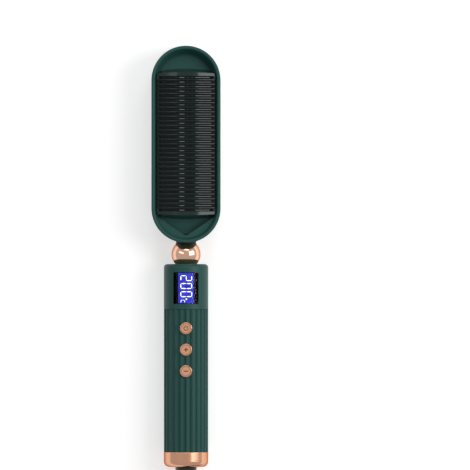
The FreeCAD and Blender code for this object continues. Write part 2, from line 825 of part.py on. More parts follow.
def make_heater():
    """What heats the comb, from the plate down: element, mica pad, spring clamp and sensors."""
    y = COMB_MIDDLE
    keep("heating_element", box("heating_element", "element_width", "element_length",
                                "element_thickness", "0", y, ELEMENT_UNDER))
    keep("mica_pad", box("mica_pad", "element_width + 2", "element_length", "pad_thickness",
                         "0", y, CLAMP_TOP))
    strap = box("ClampStrap", "element_width + 2", "element_length + 2 * clamp_tab",
                "clamp_thickness", "0", y, CLAMP_UNDER)
    feet = [box(f"ClampFoot{i}", "element_width + 2", "clamp_tab - 0.5",
                f"{PLATE_UNDER} - {CLAMP_UNDER}", "0",
                f"{y} {sign} (element_length / 2 + 0.5 + (clamp_tab - 0.5) / 2)", CLAMP_UNDER)
            for i, sign in enumerate("+-")]
    holes = [rod(f"ClampHole{i}", "screw_radius + 2 * screw_play", "20", "0",
                 f"{y} {sign} {CLAMP_SCREW_Y}", f"{CLAMP_UNDER} - 1")
             for i, sign in enumerate("+-")]
    keep("heater_clamp", cut("heater_clamp", fuse("ClampBlank", strap, *feet), *holes))
    reach = f"{PLATE_UNDER} - {CLAMP_UNDER} + plate_thickness - 0.7"
    keep("clamp_screws", group("clamp_screws", *[
        screw(f"ClampScrew{i}", reach, "0", f"{y} {sign} {CLAMP_SCREW_Y}", CLAMP_UNDER)
        for i, sign in enumerate("+-")]))
    spots = mirror_spots(COMB_SCREW_X, COMB_SCREW_Y, y)
    keep("comb_screws", group("comb_screws", *[
        screw(f"CombScrew{i}", "plate_thickness + floor_thickness + 4.5", x, spot, PLATE_UNDER)
        for i, (x, spot) in enumerate(spots)]))
    keep("thermistor", rod("thermistor", "sensor_radius", "sensor_length", "sensor_spread",
                           f"{y} - sensor_length / 2", f"{PLATE_UNDER} - sensor_radius", "Y"))
    keep("thermal_cutoff", rod("thermal_cutoff", "cutoff_radius", "cutoff_length", "-sensor_spread",
                               f"{y} - cutoff_length / 2", f"{PLATE_UNDER} - cutoff_radius", "Y"))


# ---------------------------------------------------------------- neck


def make_neck():
    """A plated ball between two seats, clamped by a threaded tube that the leads run through."""
    seal_end = f"({HEAD_BOTTOM} - seal_proud)"
    centre = f"({SHOULDER} + ball_centre)"
    bore = "(tube_radius + screw_play / 2)"
    ball = handle_body("neck_ball")
    turned(ball, "BallSection", [
        (bore, SHOULDER), ("sqrt(ball_radius^2 - ball_centre^2)", SHOULDER),
        ("by", "ball_radius", centre),
        (f"sqrt(ball_radius^2 - ({seal_end} - {centre})^2)", seal_end), (bore, seal_end)])
    seat = f"({HEAD_BOTTOM} + seal_seat)"
    seal = handle_body("neck_seal")
    turned(seal, "SealSection", [
        (bore, seal_end), ("seal_radius", seal_end),
        ("seal_radius - seal_waist", f"({seal_end} + {seat}) / 2"), ("seal_radius", seat),
        (bore, seat)])
    nut_top = f"({SHOULDER} - shoulder_wall)"
    tube_start = f"({nut_top} - nut_height - 1)"
    length = f"{HEAD_BOTTOM} + tube_reach + 1 - {tube_start}"
    outside = rod("TubeOutside", "tube_radius", length, "0", tube_start, "handle_axis", "Y")
    inside = rod("TubeInside", "tube_bore", f"{length} + 2", "0", f"{tube_start} - 1",
                 "handle_axis", "Y")
    keep("neck_tube", cut("neck_tube", outside, inside))
    hexagon = doc.addObject("Part::Prism", "NutBlank")
    hexagon.Placement = Placement(Vector(), TURN["Y"])
    bind(hexagon, Circumradius="nut_radius", Height="nut_height")
    move(hexagon, "0", f"{nut_top} - nut_height", "handle_axis")
    thread = rod("NutBore", bore, "nut_height + 2", "0", f"{nut_top} - nut_height - 1",
                 "handle_axis", "Y")
    keep("neck_nut", cut("neck_nut", hexagon, thread))


# ---------------------------------------------------------------- handle


def make_collar():
    """The smooth sleeve round the display, closed towards the neck."""
    body = handle_body("collar_sleeve")
    bore = "(tube_radius + screw_play / 2)"
    turned(body, "CollarSection", [
        (bore, SHOULDER), ("handle_radius", SHOULDER, "shoulder_round"),
        ("handle_radius", COLLAR_END), (COLLAR_BORE, COLLAR_END),
        (COLLAR_BORE, f"{SHOULDER} - shoulder_wall"), (bore, f"{SHOULDER} - shoulder_wall")])
    window = outline(body, "Window", "XY_Plane",
                     rounded_box("window_width", "window_length", WINDOW_MIDDLE, "window_round"),
                     "handle_radius + 1")
    pocket(body, window, "handle_radius - 1")


def button_y(index):
    return f"({SHOULDER} - button_first - {index} * button_pitch)"


def standoff_y(index):
    return f"({SHOULDER} - board_start - standoff_first - {index} * standoff_pitch)"


def make_grip(node, front):
    """Half of the fluted grip, with a spigot at each end and posts for the closing screws."""
    body = handle_body(node)
    inner = f"({SPIGOT} - spigot_wall)"
    top, bottom = f"({COLLAR_END} + collar_spigot)", f"({GRIP_END} - ring_spigot)"
    section = outline(body, node + "_section", "XY_Plane", [
        (inner, top), (SPIGOT, top), (SPIGOT, COLLAR_END), (CREST, COLLAR_END),
        (CREST, GRIP_END), (SPIGOT, GRIP_END), (SPIGOT, bottom), (inner, bottom),
        (inner, f"{GRIP_END} + 2"), (GRIP_BORE, f"{GRIP_END} + 2 + {GRIP_BORE} - {inner}"),
        (GRIP_BORE, f"{COLLAR_END} - 2 - {GRIP_BORE} + {inner}"), (inner, f"{COLLAR_END} - 2")])
    revolve(body, section, "180", back=front)
    out = "(handle_radius - crest_drop - flute_depth + flute_radius)"
    sign = "" if front else "-"
    centre = (f"{out} * cos(180 / flute_count)", f"{sign}{out} * sin(180 / flute_count)")
    flute = circles(body, node + "_flute", "XZ_Plane", [centre], "flute_radius", f"-{COLLAR_END}")
    groove = pocket(body, flute, "grip_length", back=True)
    flutes = pattern(body, "PolarPattern", [groove], (datum(body, "Y_Axis"), [""]),
                     "flute_count / 2", Angle="180 - 360 / flute_count")
    flutes.Reversed = front
    spots = [("post_spread", POST_Y), ("-post_spread", POST_Y)]
    posts = circles(body, node + "_posts", "XY_Plane", spots, "screw_post")
    if front:
        pad(body, posts, "post_height")
        pilots = circles(body, node + "_pilots", "XY_Plane", spots, "screw_radius + screw_play", "-1")
        pocket(body, pilots, "post_height - 0.8", back=True)
        spots = [("0", button_y(i)) for i in range(len(BUTTONS))]
        holes = circles(body, "ButtonHoles", "XY_Plane", spots, "button_radius + button_play",
                        "handle_radius + 1")
        pocket(body, holes, f"handle_radius + 1 - {FLANGE_UNDER}")
        return
    pad(body, posts, "post_height", back=True)
    heads = circles(body, node + "_heads", "XY_Plane", spots, "screw_head + 2 * screw_play",
                    "-post_seat")
    pocket(body, heads, "handle_radius")
    holes = circles(body, node + "_holes", "XY_Plane", spots, "screw_radius + 2 * screw_play", "1")
    pocket(body, holes, "post_seat + 2")
    spots = [("0", standoff_y(i)) for i in range(2)]
    standoffs = circles(body, "Standoffs", "XY_Plane", spots, "standoff_radius", BOARD_UNDER)
    pad(body, standoffs, f"{BOARD_UNDER} + {GRIP_BORE} + 0.5", back=True)
    taps = circles(body, "StandoffTaps", "XY_Plane", spots, "screw_radius + screw_play",
                   f"{BOARD_UNDER} + 1")
    pocket(body, taps, "8")


def make_end_ring():
    """The plated cap that closes the handle and carries the swivel."""
    body = handle_body("end_ring")
    hole = "(spindle_radius + swivel_play)"
    turned(body, "RingSection", [
        (COLLAR_BORE, GRIP_END), ("handle_radius", GRIP_END, "ring_bevel"),
        ("handle_radius", RING_END, "ring_round"), (hole, RING_END),
        (hole, f"{RING_END} + ring_wall"), (COLLAR_BORE, f"{RING_END} + ring_wall")])
    keep("handle_screws", group("handle_screws", *[
        screw(f"HandleScrew{i}", "post_seat + post_height - 2.3", f"{sign}post_spread", POST_Y,
              "handle_axis - post_seat") for i, sign in enumerate(("", "-"))]))


def make_swivel():
    """The turning cone, its spindle through the cap and the clip that holds it."""
    body = handle_body("swivel_cone")
    base = f"({RING_END} - face_gap)"
    turned(body, "SwivelSection", [
        ("spindle_bore", SWIVEL_END), ("swivel_tip", SWIVEL_END), ("swivel_base", base),
        ("spindle_radius", base), ("spindle_radius", f"{RING_END} + spindle_length"),
        ("spindle_bore", f"{RING_END} + spindle_length")])
    clip = handle_body("swivel_clip")
    low = f"({RING_END} + ring_wall + face_gap)"
    turned(clip, "SwivelClipSection", [
        ("spindle_radius", low), ("clip_radius", low), ("clip_radius", f"{low} + clip_thickness"),
        ("spindle_radius", f"{low} + clip_thickness")])
    start = f"({RING_END} + spindle_length + face_gap)"
    keep("swivel_contacts", rod("swivel_contacts", "contact_radius", "contact_length", "0", start,
                                "handle_axis", "Y"))
    height = f"handle_axis + {BOARD_UNDER} - lead_radius"
    first = f"({start} + contact_length)"
    keep("mains_wires", group("mains_wires", *[
        rod(f"MainsWire{i}", "lead_radius", f"{BOARD_END} + 6 - {first}", f"{sign}2.5", first,
            height, "Y") for i, sign in enumerate(("", "-"))]))


# ---------------------------------------------------------------- display and board


def curved_sheet(name, inner, outer, length, width, corner):
    """A patch of tube wall round the handle's axis, centred in the display window."""
    start = f"{WINDOW_MIDDLE} - ({length}) / 2"
    wall = cut(name + "Wall", rod(name + "Outer", outer, length, "0", start, "handle_axis", "Y"),
               rod(name + "Inner", inner, f"({length}) + 2", "0", f"{start} - 1", "handle_axis", "Y"))
    block = blank_body(name + "Block", z="handle_axis")
    patch = rounded_box(width, length, WINDOW_MIDDLE, corner)
    pad(block, outline(block, name + "Outline", "XY_Plane", patch), "handle_radius")
    return common(name, wall, block)


def make_display():
    """Lens, black mask, lit panel and the cradle that holds them on the board."""
    keep("display_lens", curved_sheet("display_lens", COLLAR_BORE, LENS_TOP,
                                      "window_length - 2 * lens_play",
                                      "window_width - 2 * lens_play", "window_round"))
    film_out = f"({COLLAR_BORE} - 0.05)"
    film = curved_sheet("MaskFilm", f"{film_out} - mask_thickness", film_out,
                        "window_length + 2 * mask_margin", "window_width + 2 * mask_margin",
                        "window_round")
    gap = box("MaskGap", "strip_width", "window_length - 1", "handle_radius", "0", WINDOW_MIDDLE,
              "handle_axis")
    keep("display_mask", cut("display_mask", film, gap))
    panel_under = "(lcd_top - lcd_thickness)"
    light_under = f"({panel_under} - 0.1 - backlight_thickness)"
    keep("lcd_panel", box("lcd_panel", "lcd_width", "lcd_length", "lcd_thickness", "0",
                          WINDOW_MIDDLE, f"handle_axis + {panel_under}"))
    keep("backlight", box("backlight", "lcd_width", "lcd_length", "backlight_thickness", "0",
                          WINDOW_MIDDLE, f"handle_axis + {light_under}"))
    cradle = box("CradleBlock", "lcd_width + 2 * holder_wall", "lcd_length + 1.6",
                 "lcd_top - holder_drop - board_top", "0", WINDOW_MIDDLE, "handle_axis + board_top")
    seat = box("CradleSeat", "lcd_width + 0.1", "lcd_length + 0.1", "handle_radius", "0",
               WINDOW_MIDDLE, f"handle_axis + {light_under}")
    hollow = box("CradleHollow", "lcd_width - 2 * holder_wall", "lcd_length - 3", "handle_radius",
                 "0", WINDOW_MIDDLE, "handle_axis + board_top + 1")
    keep("display_cradle", cut("display_cradle", cradle, seat, hollow))


def make_board():
    """The long circuit board and the parts on its two faces."""
    under = f"(handle_axis + {BOARD_UNDER})"
    top = "(handle_axis + board_top)"
    blank = box("BoardBlank", "board_width", "board_length", "board_thickness", "0", BOARD_MIDDLE,
                under)
    spots = [standoff_y(i) for i in range(2)]
    holes = [rod(f"BoardHole{i}", "screw_radius + 2 * screw_play", "board_thickness + 2", "0", y,
                 f"{under} - 1") for i, y in enumerate(spots)]
    keep("main_board", cut("main_board", blank, *holes))
    keep("board_screws", group("board_screws", *[
        screw(f"BoardScrew{i}", "board_thickness + 6", "0", y, top, down=True)
        for i, y in enumerate(spots)]))
    keep("film_capacitor", box("film_capacitor", "11", "18", "7", "-3.5", f"{BOARD_END} + 32",
                               f"{under} - 7"))
    keep("mains_fuse", rod("mains_fuse", "2.5", "18", "6", f"{BOARD_END} + 23", f"{under} - 2.5", "Y"))
    keep("power_triac", box("power_triac", "10", "15.5", "4.4", "0", f"{BOARD_END} + 54",
                            f"{under} - 4.4"))
    keep("controller_chip", box("controller_chip", "6", "10", "1.6", "0", f"{BOARD_END} + 27", top))
    keep("buzzer", rod("buzzer", "4", "4.5", "0", f"{BOARD_END} + 5.5", top))


# ---------------------------------------------------------------- buttons


def make_button(node, index):
    """A dished cap kept in by a flange, the plunger under it and the switch on the board."""
    y = button_y(index)
    body = handle_body(node, y)
    rim = "(button_radius - button_rim)"
    section = outline(body, node + "_section", "XZ_Plane", [
        ("0", FLANGE_UNDER), ("flange_radius", FLANGE_UNDER), ("flange_radius", "flange_top"),
        ("button_radius", "flange_top"), ("button_radius", BUTTON_TOP, "0.3"),
        (rim, BUTTON_TOP), (f"{rim} - button_dish", f"{BUTTON_TOP} - button_dish"),
        ("0", f"{BUTTON_TOP} - button_dish")])
    revolve(body, section)
    switch_top = "(handle_axis + board_top + switch_height)"
    plunger_under = f"({switch_top} - plunger_depth)"
    plunger = node.replace("button", "plunger")
    keep(plunger, rod(plunger, "plunger_radius", f"handle_axis + {FLANGE_UNDER} - {plunger_under}",
                      "0", y, plunger_under))
    block = box(node + "_switch", "switch_side", "switch_side", "switch_height", "0", y,
                "handle_axis + board_top")
    well = rod(node + "_well", "plunger_radius + plunger_play", "5", "0", y,
               f"{plunger_under} - button_travel - face_gap")
    switch = node.replace("button", "switch")
    keep(switch, cut(switch, block, well))


# ---------------------------------------------------------------- mains lead

# points that the lead passes, chosen by hand, in millimetres
BOOT_ROUTE = [(0, -150.95, 15.5), (0, -165.6, 14.6), (7.4, -178.2, 12.2), (20.6, -185.3, 8.4),
              (36.5, -185.4, 4.9), (52, -185.6, 4)]
LEAD_ROUTE = [(52, -185.6, 4), (65.95, -185.78, 3.19), (79.3, -193.3, 3.1), (86.8, -206.8, 3.2),
              (86.5, -221.8, 3.45), (86, -241, 3.6)]
TAIL_ROUTE = [(62.62, -281.49, 9.6), (54.83, -285.99, 9.6), (40.974, -293.99, 6.85),
              (33.18, -298.49, 6.85)]
COIL_CENTRE = (39.25, -241)
PLUG_PLACE = (33.18, -298.49)
PLUG_TURN = 120


def along(wire, distance):
    """The point and heading at a distance along a wire."""
    for edge in wire.Edges:
        if distance <= edge.Length:
            break
        distance -= edge.Length
    parameter = edge.getParameterByLength(min(distance, edge.Length))
    return edge.valueAt(parameter), edge.tangentAt(parameter)


def vectors(points):
    return [Vector(*point) for point in points]


def make_harness():
    """The sleeved wires from the board through the neck to the sensors under the comb."""
    low = f"({CLAMP_UNDER} - harness_radius - 2.1)"
    high = f"({PLATE_UNDER} - harness_radius - 0.2)"
    sensor = f"({COMB_MIDDLE} - sensor_length / 2)"
    points = [("0", f"{SHOULDER} - 20", "handle_axis"), ("0", f"{HEAD_BOTTOM} + 11", "handle_axis"),
              ("4", f"{HEAD_BOTTOM} + 21", low), ("sensor_spread - 1.4", f"{HEAD_BOTTOM} + 35", low),
              ("sensor_spread", f"{sensor} - 12.6", f"{high} - 1.1"),
              ("sensor_spread", f"{sensor} - face_gap", high)]
    wire, _ = route([Vector(*[measure(part) for part in point]) for point in points])
    formed("heater_harness", sweep(wire, measure("harness_radius")))


def make_boot():
    """The strain relief: a soft core in a row of rigid lobes, bent to one side."""
    wire, radii = route(vectors(BOOT_ROUTE))
    print("boot radii", [round(radius, 1) for radius in radii])
    shape = sweep(wire, measure("boot_core"))
    pitch, length = measure("boot_pitch"), measure("boot_lobe_length")
    wide, narrow = measure("boot_lobe"), measure("boot_tip")
    count = int((wire.Length - length) / pitch) + 1
    lobes = []
    for i in range(count):
        point, heading = along(wire, i * pitch + length / 2)
        radius = wide + (narrow - wide) * i / max(count - 1, 1)
        start = point - heading * length / 2
        lobes.append(Part.makeCone(radius, radius - 0.5, length, start, heading))
    formed("strain_relief", shape.fuse(lobes).removeSplitter())


def make_cord():
    """The two free stretches, the coil between them, its tie, and the plug."""
    for node, points in (("cord_lead", LEAD_ROUTE), ("cord_tail", TAIL_ROUTE)):
        wire, radii = route(vectors(points))
        tube = sweep(wire, measure("cord_radius"))
        ideal = math.pi * measure("cord_radius") ** 2 * wire.Length
        print(node, "length", round(wire.Length, 1), "radii", [round(r, 1) for r in radii],
              "volume ratio", round(tube.Volume / ideal, 4))
        formed(node, tube)
    x, y = (str(place) for place in COIL_CENTRE)
    coil = new_body("cord_coil", x, y)
    section = outline(coil, "CoilSection", "XZ_Plane", coil_section("0"))
    revolve(coil, section)
    tie = new_body("cord_tie", x, y)
    band = outline(tie, "TieSection", "XZ_Plane", coil_section("tie_thickness"))
    draw_loop(band, coil_section("0"))
    angle = "(tie_width / coil_radius * 180 / pi)"
    revolve(tie, band, angle)
    tie.Placement = Placement(Vector(*COIL_CENTRE, 0), Rotation(Vector(0, 0, 1), 175))
    make_plug()


def coil_section(margin):
    """Half-section of the coil: two layers of about three and a half turns."""
    inner, outer = "(coil_radius - coil_width / 2)", "(coil_radius + coil_width / 2)"
    low, high = f"tie_thickness - {margin}", f"coil_height + {margin}"
    return [(f"{inner} - {margin}", low, "2"), (f"{outer} + {margin}", low, "2"),
            (f"{outer} + {margin}", high, "2"), (f"{inner} - {margin}", high, "2")]


def make_plug():
    """A flat two-pin plug with a tapered tail, lying beside the coil."""
    x, y = (str(place) for place in PLUG_PLACE)
    turn = Placement(Vector(), Rotation(Vector(0, 0, 1), PLUG_TURN))
    body = new_body("plug_body")
    body.Placement = turn
    move(body, x, y, "plug_thickness / 2")
    front = "(plug_tail + plug_length)"
    half = "(plug_width / 2)"
    shoulder = f"({front} - 0.35 * plug_length)"
    plan = outline(body, "PlugPlan", "XY_Plane", [
        (half, front, "1.5"), (f"-{half}", front, "1.5"), (f"-{half}", shoulder, "4"),
        ("-8", "plug_tail", "3"), ("8", "plug_tail", "3"), (half, shoulder, "4")])
    pad(body, plan, "plug_thickness", both=True)
    flat = measure("plug_thickness") / 2
    fillet(body, "2.2", lambda edge: abs(abs(edge.CenterOfMass.z) - flat) < 1e-3)
    turned(body, "PlugTail", [
        ("0", "0"), ("cord_radius + 1", "0"), ("cord_radius + 3", "plug_tail + 0.5"),
        ("0", "plug_tail + 0.5")])
    spots = [("pin_spacing / 2", "0"), ("-pin_spacing / 2", "0")]
    holes = circles(body, "PinHoles", "XZ_Plane", spots, "pin_root_radius", f"-{front} - 1")
    pocket(body, holes, "pin_root + 1", back=True)
    pins = []
    for i, (offset, _) in enumerate(spots):
        blade = rod(f"Pin{i}", "pin_radius", "pin_length", offset, front, "0", "Y")
        root = rod(f"PinRoot{i}", "pin_root_radius", "pin_root", offset, f"{front} - pin_root", "0",
                   "Y")
        pins.append(fuse(f"PinAndRoot{i}", blade, root))
    pair = keep("plug_pins", group("plug_pins", *pins))
    pair.Placement = turn
    move(pair, x, y, "plug_thickness / 2")


# ---------------------------------------------------------------- build and write

make_head_shell()
make_trim_ring()
make_back_cover()
make_comb_guard()
make_hot_comb()
make_heater()
make_neck()
make_collar()
make_grip("grip_front", front=True)
make_grip("grip_rear", front=False)
make_end_ring()
make_swivel()
make_display()
make_board()
for place, button in enumerate(BUTTONS):
    make_button(button, place)
make_harness()
make_boot()
make_cord()

doc.recompute()
for thing in doc.Objects:
    if "Invalid" in thing.State or "Error" in thing.State:
        raise RuntimeError(f"{thing.Label} failed: {thing.State}")
os.makedirs("parts", exist_ok=True)
for node, thing in nodes.items():
    shape = thing.Shape
    if shape.isNull() or not shape.isValid():
        raise RuntimeError(f"{node} has no valid shape")
    print(f"{node}: {len(shape.Solids)} solids, {shape.Volume:.1f} mm3")
    shape.exportStep(f"parts/{node}.step")
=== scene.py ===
import math

import bmesh
import bpy
from mathutils import Matrix, Vector


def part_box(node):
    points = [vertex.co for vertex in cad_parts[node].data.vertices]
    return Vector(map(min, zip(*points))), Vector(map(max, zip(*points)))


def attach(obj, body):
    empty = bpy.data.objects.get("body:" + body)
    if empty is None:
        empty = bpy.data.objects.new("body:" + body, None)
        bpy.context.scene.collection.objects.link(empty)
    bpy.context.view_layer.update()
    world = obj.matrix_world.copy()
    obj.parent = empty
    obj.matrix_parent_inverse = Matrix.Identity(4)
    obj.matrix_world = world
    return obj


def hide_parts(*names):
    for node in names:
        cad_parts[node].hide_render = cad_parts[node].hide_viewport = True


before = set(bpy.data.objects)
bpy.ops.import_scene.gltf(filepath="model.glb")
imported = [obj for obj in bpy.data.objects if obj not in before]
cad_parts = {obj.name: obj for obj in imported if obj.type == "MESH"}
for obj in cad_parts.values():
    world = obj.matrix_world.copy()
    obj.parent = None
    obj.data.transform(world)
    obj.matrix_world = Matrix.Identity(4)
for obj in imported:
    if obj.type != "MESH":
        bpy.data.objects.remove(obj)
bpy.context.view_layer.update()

# ---------------------------------------------------------------- stage
# A pale table seen from straight above, with soft lamps over it. The camera's long lens keeps
# the brush's sides out of sight, and the table lets the world's light through from below.
SENSOR_WIDTH = 36
CAMERA_HEIGHT = 8.0
FARTHEST = 20
VIEW_WIDTH = 0.329
VIEW_MIDDLE = (0.0342, 0.0183)

scene = bpy.context.scene
scene.view_settings.view_transform = "Standard"

camera_data = bpy.data.cameras.new("overhead")
camera_data.sensor_width = SENSOR_WIDTH
camera_data.clip_end = FARTHEST
camera_data.lens = SENSOR_WIDTH * CAMERA_HEIGHT / VIEW_WIDTH
camera = bpy.data.objects.new("overhead", camera_data)
camera.location = (*VIEW_MIDDLE, CAMERA_HEIGHT)
scene.collection.objects.link(camera)
scene.camera = camera


def area_lamp(name, place, aim, size, power):
    """A rectangular softbox that faces its aim."""
    data = bpy.data.lights.new(name, "AREA")
    data.shape = "RECTANGLE"
    data.size, data.size_y = size
    data.energy = power
    lamp = bpy.data.objects.new(name, data)
    lamp.location = place
    lamp.rotation_euler = (Vector(aim) - Vector(place)).to_track_quat("-Z", "Y").to_euler()
    scene.collection.objects.link(lamp)


area_lamp("right_softbox", place=(0.9, 0.2, 0.85), aim=(0, 0.05, 0), size=(0.6, 0.9), power=7.2)
area_lamp("left_softbox", place=(-0.7, 0.25, 0.87), aim=(0, 0, 0), size=(0.2, 0.8), power=0.9)
area_lamp("top_softbox", place=(0.1, 0.95, 1.0), aim=(0, 0.05, 0), size=(0.8, 0.5), power=3.6)


def backdrop_rays(nodes, link):
    """One for rays from the camera, off gloss or through glass, and nothing for all others."""
    ray = nodes.new("ShaderNodeLightPath")
    seen = ray.outputs["Is Camera Ray"]
    for kind in ("Is Glossy Ray", "Is Transmission Ray"):
        either = nodes.new("ShaderNodeMath")
        either.operation = "MAXIMUM"
        link(seen, either.inputs[0])
        link(ray.outputs[kind], either.inputs[1])
        seen = either.outputs[0]
    return seen


# The camera, metal and glass see a paler backdrop than the light that the world gives.
WORLD_LIGHT = 0.31
WORLD_BACKDROP = 0.55
world = bpy.data.worlds.new("studio")
world.use_nodes = True
nodes, link = world.node_tree.nodes, world.node_tree.links.new
sky = nodes["Background"]
sky.inputs["Color"].default_value = (1, 1, 1, 1)
level = nodes.new("ShaderNodeMapRange")
level.inputs["To Min"].default_value = WORLD_LIGHT
level.inputs["To Max"].default_value = WORLD_BACKDROP
link(backdrop_rays(nodes, link), level.inputs["Value"])
link(level.outputs["Result"], sky.inputs["Strength"])
scene.world = world

TABLE_HALF = 3
TABLE_WHITE = (0.82, 0.82, 0.82, 1)
TABLE_GLOW = 0.5
table_mesh = bpy.data.meshes.new("table")
table = bpy.data.objects.new("table", table_mesh)
scene.collection.objects.link(table)
sheet = bmesh.new()
bmesh.ops.create_grid(sheet, x_segments=1, y_segments=1, size=TABLE_HALF)
sheet.to_mesh(table_mesh)
sheet.free()
paper = bpy.data.materials.new("white_table")
paper.use_nodes = True
nodes, link = paper.node_tree.nodes, paper.node_tree.links.new
white = nodes["Principled BSDF"]
white.inputs["Base Color"].default_value = TABLE_WHITE
white.inputs["Roughness"].default_value = 0.9
white.inputs["Specular IOR Level"].default_value = 0.0
glow = nodes.new("ShaderNodeEmission")
glow.inputs["Color"].default_value = (1, 1, 1, 1)
glow.inputs["Strength"].default_value = TABLE_GLOW
both = nodes.new("ShaderNodeAddShader")
clear = nodes.new("ShaderNodeBsdfTransparent")
lit = nodes.new("ShaderNodeMixShader")
side = nodes.new("ShaderNodeNewGeometry")
through = nodes.new("ShaderNodeMixShader")
link(white.outputs[0], both.inputs[0])
link(glow.outputs[0], both.inputs[1])
link(backdrop_rays(nodes, link), lit.inputs["Fac"])
link(clear.outputs[0], lit.inputs[1])
link(both.outputs[0], lit.inputs[2])
link(side.outputs["Backfacing"], through.inputs["Fac"])
link(lit.outputs[0], through.inputs[1])
link(clear.outputs[0], through.inputs[2])
link(through.outputs[0], nodes["Material Output"].inputs["Surface"])
table_mesh.materials.append(paper)

# ---------------------------------------------------------------- head shell
# One deep moulding in satin green plastic: a capsule-shaped tray with a rolled lip, a comb
# opening in its floor and a raised chin over the neck. Fine spark grain from the mould.
CLOUD_SCALE = 55
GRAIN_HEIGHT = 0.0002
SATIN_GREEN = dict(colour=(0.021, 0.084, 0.074), roughness=0.42, scale=5200, depth=0.06, cloud=0.12,
                   Specular_IOR_Level=0.22)


def effect(name, inputs, outputs):
    """An empty group: inputs are (name, socket type, default), outputs (name, socket type)."""
    group = bpy.data.node_groups.new(name, "ShaderNodeTree")
    for label, kind, default in inputs:
        socket = group.interface.new_socket(label, in_out="INPUT", socket_type=kind)
        socket.default_value = default
    for label, kind in outputs:
        group.interface.new_socket(label, in_out="OUTPUT", socket_type=kind)
    return group, group.nodes.new("NodeGroupInput"), group.nodes.new("NodeGroupOutput")


def build_moulded_grain():
    """Fine grain and a faint cloudiness, as a mould leaves them; plating and glaze have little."""
    group, given, result = effect("moulded_grain", [
        ("Position", "NodeSocketVector", (0, 0, 0)),
        ("Colour", "NodeSocketColor", (0.5, 0.5, 0.5, 1)),
        ("Roughness", "NodeSocketFloat", 0.4),
        ("Grain scale", "NodeSocketFloat", 4000.0),
        ("Grain depth", "NodeSocketFloat", 0.15),
        ("Cloudiness", "NodeSocketFloat", 0.1)], [
        ("Colour", "NodeSocketColor"),
        ("Roughness", "NodeSocketFloat"),
        ("Normal", "NodeSocketVector")])
    nodes, link = group.nodes, group.links.new
    grain = nodes.new("ShaderNodeTexNoise")
    grain.inputs["Detail"].default_value = 3
    cloud = nodes.new("ShaderNodeTexNoise")
    cloud.inputs["Scale"].default_value = CLOUD_SCALE
    cloud.inputs["Detail"].default_value = 4
    centred = nodes.new("ShaderNodeMath")
    centred.operation = "SUBTRACT"
    centred.inputs[1].default_value = 0.5
    amount = nodes.new("ShaderNodeMath")
    amount.operation = "MULTIPLY"
    bright = nodes.new("ShaderNodeMath")
    bright.inputs[1].default_value = 1.0
    tint = nodes.new("ShaderNodeHueSaturation")
    shine = nodes.new("ShaderNodeMath")
    shine.operation = "MULTIPLY"
    bump = nodes.new("ShaderNodeBump")
    bump.inputs["Distance"].default_value = GRAIN_HEIGHT
    link(given.outputs["Position"], grain.inputs["Vector"])
    link(given.outputs["Grain scale"], grain.inputs["Scale"])
    link(given.outputs["Position"], cloud.inputs["Vector"])
    link(cloud.outputs["Fac"], centred.inputs[0])
    link(centred.outputs[0], amount.inputs[0])
    link(given.outputs["Cloudiness"], amount.inputs[1])
    link(amount.outputs[0], bright.inputs[0])
    link(bright.outputs[0], tint.inputs["Value"])
    link(given.outputs["Colour"], tint.inputs["Color"])
    link(tint.outputs["Color"], result.inputs["Colour"])
    link(bright.outputs[0], shine.inputs[0])
    link(given.outputs["Roughness"], shine.inputs[1])
    link(shine.outputs[0], result.inputs["Roughness"])
    link(given.outputs["Grain depth"], bump.inputs["Strength"])
    link(grain.outputs["Fac"], bump.inputs["Height"])
    link(bump.outputs["Normal"], result.inputs["Normal"])
    return group


moulded_grain = build_moulded_grain()


def new_material(name):
    """A material, the output that gives its Object coordinates, and its shader."""
    material = bpy.data.materials.new(name)
    material.use_nodes = True
    place = material.node_tree.nodes.new("ShaderNodeTexCoord")
    return material, place.outputs["Object"], material.node_tree.nodes["Principled BSDF"]


def grained(name, colour, roughness, scale, depth, cloud, **surface):
    """A material with the moulded grain; surface sets the shader's own sockets."""
    material, position, shader = new_material(name)
    link = material.node_tree.links.new
    skin = material.node_tree.nodes.new("ShaderNodeGroup")
    skin.node_tree = moulded_grain
    skin.inputs["Colour"].default_value = (*colour, 1)
    skin.inputs["Roughness"].default_value = roughness
    skin.inputs["Grain scale"].default_value = scale
    skin.inputs["Grain depth"].default_value = depth
    skin.inputs["Cloudiness"].default_value = cloud
    link(position, skin.inputs["Position"])
    link(skin.outputs["Colour"], shader.inputs["Base Color"])
    link(skin.outputs["Roughness"], shader.inputs["Roughness"])
    link(skin.outputs["Normal"], shader.inputs["Normal"])
    for socket, value in surface.items():
        shader.inputs[socket.replace("_", " ")].default_value = value
    return material


def finish_nodes(material, *nodes):
    """Gives CAD pieces their finish."""
    for node in nodes:
        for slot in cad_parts[node].material_slots:
            slot.material = material


green_plastic = grained("green_plastic", **SATIN_GREEN)
finish_nodes(green_plastic, "head_shell")

# ---------------------------------------------------------------- comb guard
# Arched fins on two rails with a bowed wall at each end, moulded in glossy black-green
# heat-proof nylon. They keep the hot comb a few millimetres off the scalp.
guard_nylon = grained("guard_nylon", colour=(0.006, 0.026, 0.023), roughness=0.16, scale=3000,
                      depth=0.003, cloud=0.1, Specular_IOR_Level=0.35)
finish_nodes(guard_nylon, "comb_guard")

# ---------------------------------------------------------------- hot comb
# A die-cast aluminium plate with a humped fin in each gap of the guard, under a glossy black
# ceramic glaze. It is screwed to the tray's floor from below.
ceramic_glaze = grained("ceramic_glaze", colour=(0.003, 0.003, 0.004), roughness=0.1, scale=2200,
                        depth=0.002, cloud=0.15, Specular_IOR_Level=0.6)
finish_nodes(ceramic_glaze, "hot_comb")

